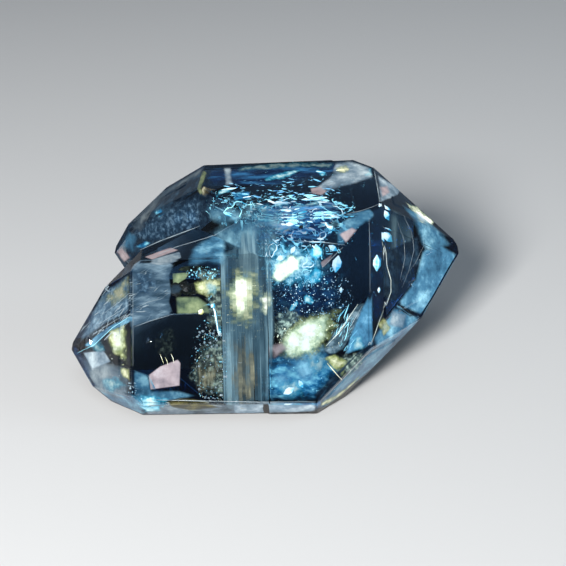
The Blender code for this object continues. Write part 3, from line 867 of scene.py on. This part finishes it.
def model_cavity():
    """A cavity with the crystal's own shape: six sides and two points, along X."""
    deselect_all()
    bpy.ops.mesh.primitive_cylinder_add(
        vertices=6, radius=CAVITY_RADIUS, depth=CAVITY_BARREL, end_fill_type="NGON",
        rotation=(0, math.pi / 2, 0),
    )
    bpy.ops.object.transform_apply(location=False, rotation=True, scale=False)
    piece = bpy.context.object
    bpy.ops.object.mode_set(mode="EDIT")
    bpy.ops.mesh.select_mode(type="FACE")
    for side in (1, -1):
        bpy.ops.mesh.select_all(action="DESELECT")
        bpy.ops.object.mode_set(mode="OBJECT")
        for face in piece.data.polygons:
            face.select = face.normal.x * side > END_FACING
        bpy.ops.object.mode_set(mode="EDIT")
        bpy.ops.mesh.extrude_region_move(TRANSFORM_OT_translate={"value": (CAVITY_POINT * side, 0, 0)})
        bpy.ops.transform.resize(value=(1.0, CAVITY_TIP, CAVITY_TIP))
    bpy.ops.mesh.select_mode(type="VERT")
    bpy.ops.object.mode_set(mode="OBJECT")
    return take_seed()


def model_ring(turn):
    """A flat fluid pocket seen as its bright rim."""
    deselect_all()
    bpy.ops.mesh.primitive_torus_add(
        major_segments=13, minor_segments=4, major_radius=0.42, minor_radius=0.055, generate_uvs=False
    )
    piece = bpy.context.object
    for point in piece.data.vertices:
        outward = Vector((point.co.x, point.co.y, 0))
        point.co += outward * RING_BEND * noise.noise(outward * RING_GRAIN + Vector((0, 0, turn)))
        point.co.y *= RING_WIDTH
    return take_seed()


def model_thread(chance):
    """A wandering fluid tube, extruded step by step."""
    deselect_all()
    bpy.ops.mesh.primitive_circle_add(
        vertices=5, radius=0.035, fill_type="NGON", rotation=(0, math.pi / 2, 0)
    )
    bpy.ops.object.transform_apply(location=False, rotation=True, scale=False)
    piece = bpy.context.object
    bpy.ops.object.mode_set(mode="EDIT")
    bpy.ops.mesh.select_all(action="SELECT")
    heading = chance.uniform(-THREAD_HEADING, THREAD_HEADING)
    for _ in range(THREAD_STEPS):
        heading += chance.uniform(-THREAD_TURN, THREAD_TURN)
        rise = chance.uniform(-THREAD_RISE, THREAD_RISE)
        step = Vector((math.cos(heading), math.sin(heading), rise)) * THREAD_STEP
        width = chance.uniform(*THREAD_WIDTHS)
        bpy.ops.mesh.extrude_region_move(TRANSFORM_OT_translate={"value": step})
        bpy.ops.transform.resize(value=(width, width, width))
    bpy.ops.mesh.select_all(action="SELECT")
    bpy.ops.mesh.normals_make_consistent(inside=False)
    bpy.ops.object.mode_set(mode="OBJECT")
    middle = sum(point.co.x for point in piece.data.vertices) / len(piece.data.vertices)
    for point in piece.data.vertices:
        point.co.x -= middle
    return take_seed()


def join_copies(name, copies):
    """One mesh of many copies; each copy is its shape, place, turn and size."""
    corners = []
    faces = []
    count = 0
    for (shape_corners, shape_faces), place, turn, size in copies:
        corners.append((shape_corners * size) @ np.array(turn).T + np.array(place))
        faces.extend([corner + count for corner in face] for face in shape_faces)
        count += len(shape_corners)
    mesh = bpy.data.meshes.new(name)
    mesh.from_pydata(np.concatenate(corners).tolist(), [], faces)
    piece = bpy.data.objects.new(name, mesh)
    bpy.context.scene.collection.objects.link(piece)
    return piece


def set_in_quartz(name, copies, margin, material):
    """Joins copies to one piece, keeps it under the crystal faces and gives it its material."""
    piece = join_copies(name, copies)
    keep_inside(piece, bpy.data.objects["quartz_skin"], margin)
    dress(piece, material)


class InclusionSettings(bpy.types.PropertyGroup):
    """The cavities and the swarms of small inclusions."""

    seed: bpy.props.IntProperty(
        name="Scatter seed", description="Another number scatters them anew", default=7
    )
    margin: bpy.props.FloatProperty(
        name="Inclusion margin", description="Least quartz over an inclusion", default=0.04 * MM,
        unit="LENGTH",
    )


def model_shapes(chance):
    """Every small shape, modelled once."""
    return {
        "fleck": [model_fleck()],
        "lump": [model_lump(turn) for turn in range(3)],
        "ring": [model_ring(turn) for turn in range(4)],
        "thread": [model_thread(chance) for _ in range(6)],
        "lens": [model_lens(LENS_WIDTH)],
        "scratch": [model_lens(SCRATCH_WIDTH)],
        "cavity": [model_cavity()],
    }


# How far a single inclusion tips over, in radians, the width of a line's ends beside its middle, and
# a bubble's thickness beside its narrower side.
SINGLE_TIP = 0.35
LINE_END = 0.3
BUBBLE_FLATNESS = 0.5

# How swarms lie: how far under the first face the next one is looked for and the least quartz behind
# an inclusion, both in mm, how much more common small ones are, and how far they lean and tilt.
FACE_STEP = 0.05
QUARTZ_BEHIND = 0.1
SMALL_SHARE = 2.5
LEAN_SPREAD = 0.25
TILT_REACH = 0.9


class QUARTZ_OT_singles(bpy.types.Operator):
    """Sets the crystal-shaped cavities, the rings and the droplets that can be told apart"""

    bl_idname = "petroleum_quartz.singles"
    bl_label = "Cavities and droplets"

    def execute(self, context):
        settings = context.scene.quartz_inclusions
        skin = bpy.data.objects["quartz_skin"]
        chance = random.Random(settings.seed)
        shapes = model_shapes(chance)
        finishes = {}
        for shape, finish, spot, depth, length, lean in SINGLES:
            place = CrystalFace(skin, *spot).below(*spot, depth)
            turn = FACING @ Matrix.Rotation(math.radians(lean), 3, "Z") @ Matrix.Rotation(SINGLE_TIP, 3, "X")
            finishes.setdefault(finish, []).append((chance.choice(shapes[shape]), place, turn, length * MM))
        for finish, copies in finishes.items():
            set_in_quartz(f"{finish}_cavities", copies, settings.margin, glint_material(finish))
        return {"FINISHED"}


class QUARTZ_OT_lines(bpy.types.Operator):
    """Draws the fine cracks and the painted highlights along crystal edges"""

    bl_idname = "petroleum_quartz.lines"
    bl_label = "Cracks and lit edges"

    def execute(self, context):
        settings = context.scene.quartz_inclusions
        skin = bpy.data.objects["quartz_skin"]
        finishes = {}
        for finish, half_width, depth, route in LINES:
            path = read_points(route)
            face = CrystalFace(skin, *path[len(path) // 2])
            places = [face.below(px, py, depth) for px, py in path]
            deselect_all()
            bpy.ops.mesh.primitive_circle_add(vertices=5, radius=1, fill_type="NGON")
            piece = context.object
            heading = (places[1] - places[0]).to_track_quat("Z", "Y").to_matrix()
            for point in piece.data.vertices:
                point.co = places[0] + heading @ (point.co * half_width * LINE_END * MM)
            bpy.ops.object.mode_set(mode="EDIT")
            bpy.ops.mesh.select_all(action="SELECT")
            width = LINE_END
            for step, (start, end) in enumerate(zip(places, places[1:])):
                wanted = LINE_END if step == len(places) - 2 else 1.0
                bpy.ops.mesh.extrude_region_move(TRANSFORM_OT_translate={"value": end - start})
                bpy.ops.transform.resize(value=(wanted / width,) * 3)
                width = wanted
            bpy.ops.mesh.select_all(action="SELECT")
            bpy.ops.mesh.normals_make_consistent(inside=False)
            bpy.ops.object.mode_set(mode="OBJECT")
            finishes.setdefault(finish, []).append((take_seed(), (0, 0, 0), Matrix.Identity(3), 1.0))
        for finish, copies in finishes.items():
            set_in_quartz(f"{finish}_lines", copies, settings.margin / 2, glint_material(finish))
        return {"FINISHED"}


class QUARTZ_OT_bubbles(bpy.types.Operator):
    """Sets the dark gas bubbles in the oil"""

    bl_idname = "petroleum_quartz.bubbles"
    bl_label = "Gas bubbles"

    def execute(self, context):
        settings = context.scene.quartz_inclusions
        skin = bpy.data.objects["quartz_skin"]
        copies = []
        for px, py, depth, half_wide, half_high in BUBBLES:
            face = CrystalFace(skin, px, py)
            corners, faces = model_lump(px)
            across = face.below(px + half_wide, py, depth) - face.below(px - half_wide, py, depth)
            along = face.below(px, py + half_high, depth) - face.below(px, py - half_high, depth)
            flat = min(across.length, along.length) * BUBBLE_FLATNESS
            shape = (corners * np.array((across.length, along.length, flat)), faces)
            copies.append((shape, face.below(px, py, depth), FACING, 1.0))
        set_in_quartz("oil_bubbles", copies, settings.margin, glint_material("pitch"))
        return {"FINISHED"}


class QUARTZ_OT_swarms(bpy.types.Operator):
    """Scatters the threads, rings, crumbs and dust through the quartz"""

    bl_idname = "petroleum_quartz.swarms"
    bl_label = "Swarms of inclusions"

    def execute(self, context):
        settings = context.scene.quartz_inclusions
        skin = bpy.data.objects["quartz_skin"]
        chance = random.Random(settings.seed)
        shapes = model_shapes(chance)
        materials = {finish: glint_material(finish) for finish in GLINT_COLOURS}
        for name, shape, finish, middle, half, depths, number, sizes, order, lean in SWARMS:
            copies = []
            while len(copies) < number:
                angle = chance.uniform(0, math.tau)
                away = math.sqrt(chance.random())
                px = middle[0] + half[0] * away * math.cos(angle)
                py = middle[1] + half[1] * away * math.sin(angle)
                hit, place, normal, _ = skin.ray_cast(EYE, sight_line(px, py))
                if not hit:
                    continue
                inner = bend(sight_line(px, py), normal)
                found, far, _, _ = skin.ray_cast(place + inner * FACE_STEP * MM, inner)
                depth = chance.uniform(*depths) * MM
                if not found or (far - place).length < depth + QUARTZ_BEHIND * MM:
                    continue
                size = sizes[0] + (sizes[1] - sizes[0]) * chance.random() ** SMALL_SHARE
                swing = (1 - order) * chance.uniform(-math.pi, math.pi) + order * chance.gauss(0, LEAN_SPREAD)
                swing += math.radians(lean)
                pitch = chance.uniform(-TILT_REACH, TILT_REACH)
                roll = chance.uniform(-TILT_REACH, TILT_REACH)
                turn = FACING @ Euler((pitch, roll, swing)).to_matrix()
                copies.append((chance.choice(shapes[shape]), place + inner * depth, turn, size * MM))
            set_in_quartz(name, copies, settings.margin, materials[finish])
        return {"FINISHED"}


class StageSettings(bpy.types.PropertyGroup):
    """The floor and the lights."""

    floor_colour: bpy.props.FloatVectorProperty(
        name="Floor colour", description="Pale floor", subtype="COLOR", default=(0.72, 0.72, 0.72)
    )
    floor_side: bpy.props.FloatProperty(
        name="Floor side", description="Width of the square floor", default=600 * MM, unit="LENGTH"
    )
    key_power: bpy.props.FloatProperty(name="Key light", description="Power of the key light", default=0.40)
    top_power: bpy.props.FloatProperty(name="Top light", description="Power of the top light", default=0.022)
    side_power: bpy.props.FloatProperty(
        name="Side light", description="Power of the side light", default=0.025
    )
    bloom: bpy.props.FloatProperty(
        name="Bloom", description="Lens glow round bright inclusions", default=0.25
    )
    world_strength: bpy.props.FloatProperty(name="Room light", description="Light of the room", default=0.7)


# Soft boxes: name, direction, distance and side in mm, the setting with the power, and colour.
LIGHTS = (
    ("key_light", (-0.40, -1.0, 0.62), 160, 42, "key_power", (1.0, 0.99, 0.97)),
    ("top_light", (0.1, -0.5, 1.4), 140, 90, "top_power", (0.90, 0.96, 1.0)),
    ("side_light", (1.3, 0.1, 0.7), 140, 60, "side_power", (0.75, 0.9, 1.0)),
)

# Width of the lens glow, as a share of the picture.
BLOOM_SIZE = 0.25

# The room's light, from level to high: how far up, and the colour.
ROOM_LIGHT = (
    (0.0, (0.20, 0.25, 0.30)),
    (0.22, (0.14, 0.19, 0.24)),
    (0.6, (0.08, 0.10, 0.13)),
)


def soft_light(name, direction, distance, side, power, colour):
    """A square soft box that faces the crystals from one direction."""
    lamp = bpy.data.lights.new(name, "AREA")
    lamp.size = side
    lamp.energy = power
    lamp.color = colour
    box = bpy.data.objects.new(name, lamp)
    bpy.context.scene.collection.objects.link(box)
    away = Vector(direction).normalized()
    box.location = CENTRE + away * distance
    box.rotation_euler = away.to_track_quat("Z", "Y").to_euler()


def add_bloom(scene, strength):
    """A faint lens glow round the brightest inclusions."""
    scene.use_nodes = True
    tree = scene.node_tree
    tree.nodes.clear()
    picture = add_node(tree, "CompositorNodeRLayers")
    bloom = add_node(tree, "CompositorNodeGlare", Image=picture.outputs["Image"])
    bloom.glare_type = "BLOOM"
    bloom.inputs["Threshold"].default_value = 1.0
    bloom.inputs["Strength"].default_value = strength
    bloom.inputs["Size"].default_value = BLOOM_SIZE
    add_node(tree, "CompositorNodeComposite", Image=bloom.outputs["Image"])


class QUARTZ_OT_stage(bpy.types.Operator):
    """Sets the floor, the lights, the room light and the camera"""

    bl_idname = "petroleum_quartz.stage"
    bl_label = "Studio"

    def execute(self, context):
        settings = context.scene.quartz_stage
        deselect_all()
        bpy.ops.mesh.primitive_plane_add(size=settings.floor_side, location=(0, 0, 0))
        floor = context.object
        floor.name = "studio_floor"
        material = new_material("pale_floor")
        shader = plain_shader(material)
        shader.inputs["Base Color"].default_value = (*settings.floor_colour, 1.0)
        shader.inputs["Roughness"].default_value = 0.8
        floor.data.materials.append(material)

        for name, direction, distance, side, power, colour in LIGHTS:
            soft_light(name, direction, distance * MM, side * MM, getattr(settings, power), colour)

        world = bpy.data.worlds.new("studio_room")
        world.use_nodes = True
        tree = world.node_tree
        background = tree.nodes["Background"]
        background.inputs["Strength"].default_value = settings.world_strength
        direction = add_node(tree, "ShaderNodeTexCoord")
        parts = add_node(tree, "ShaderNodeSeparateXYZ", Vector=direction.outputs["Generated"])
        feed(tree, background.inputs["Color"], ramp(tree, parts.outputs["Z"], ROOM_LIGHT))
        context.scene.world = world
        context.scene.view_settings.view_transform = "Standard"
        add_bloom(context.scene, settings.bloom)
        context.scene.cycles.glossy_bounces = 12
        context.scene.cycles.transmission_bounces = 16
        context.scene.cycles.transparent_max_bounces = 24
        context.scene.cycles.max_bounces = 20
        context.scene.cycles.caustics_refractive = False
        context.scene.cycles.caustics_reflective = False

        lens = bpy.data.cameras.new("photo_camera")
        lens.lens = VIEW_LENS
        lens.sensor_width = SENSOR_WIDTH
        lens.clip_start = 5 * MM
        lens.clip_end = 2.0
        camera = bpy.data.objects.new("photo_camera", lens)
        context.scene.collection.objects.link(camera)
        camera.matrix_world = Matrix.Translation(EYE) @ FACING.to_4x4()
        context.scene.camera = camera
        return {"FINISHED"}


SETTINGS = {
    "quartz_skin": QuartzSkinSettings,
    "quartz_films": FilmSettings,
    "quartz_inclusions": InclusionSettings,
    "quartz_stage": StageSettings,
}
OPERATORS = (QUARTZ_OT_skin, QUARTZ_OT_films, QUARTZ_OT_singles, QUARTZ_OT_lines,
             QUARTZ_OT_bubbles, QUARTZ_OT_swarms, QUARTZ_OT_stage)


class QUARTZ_PT_panel(bpy.types.Panel):
    """Lists the building steps in the sidebar"""

    bl_idname = "QUARTZ_PT_panel"
    bl_label = "Petroleum Quartz"
    bl_space_type = "VIEW_3D"
    bl_region_type = "UI"
    bl_category = "Quartz"

    def draw(self, context):
        for name, group in SETTINGS.items():
            values = getattr(context.scene, name)
            for setting in group.__annotations__:
                self.layout.prop(values, setting)
        for operator in OPERATORS:
            self.layout.operator(operator.bl_idname)


CLASSES = (*SETTINGS.values(), *OPERATORS, QUARTZ_PT_panel)


def register():
    for each in CLASSES:
        bpy.utils.register_class(each)
    for name, group in SETTINGS.items():
        setattr(bpy.types.Scene, name, bpy.props.PointerProperty(type=group))


def unregister():
    for name in SETTINGS:
        delattr(bpy.types.Scene, name)
    for each in reversed(CLASSES):
        bpy.utils.unregister_class(each)


def main():
    register()
    bpy.ops.petroleum_quartz.skin()
    bpy.ops.petroleum_quartz.films()
    bpy.ops.petroleum_quartz.singles()
    bpy.ops.petroleum_quartz.lines()
    bpy.ops.petroleum_quartz.bubbles()
    bpy.ops.petroleum_quartz.swarms()
    bpy.ops.petroleum_quartz.stage()


if __name__ == "__main__":
    main()
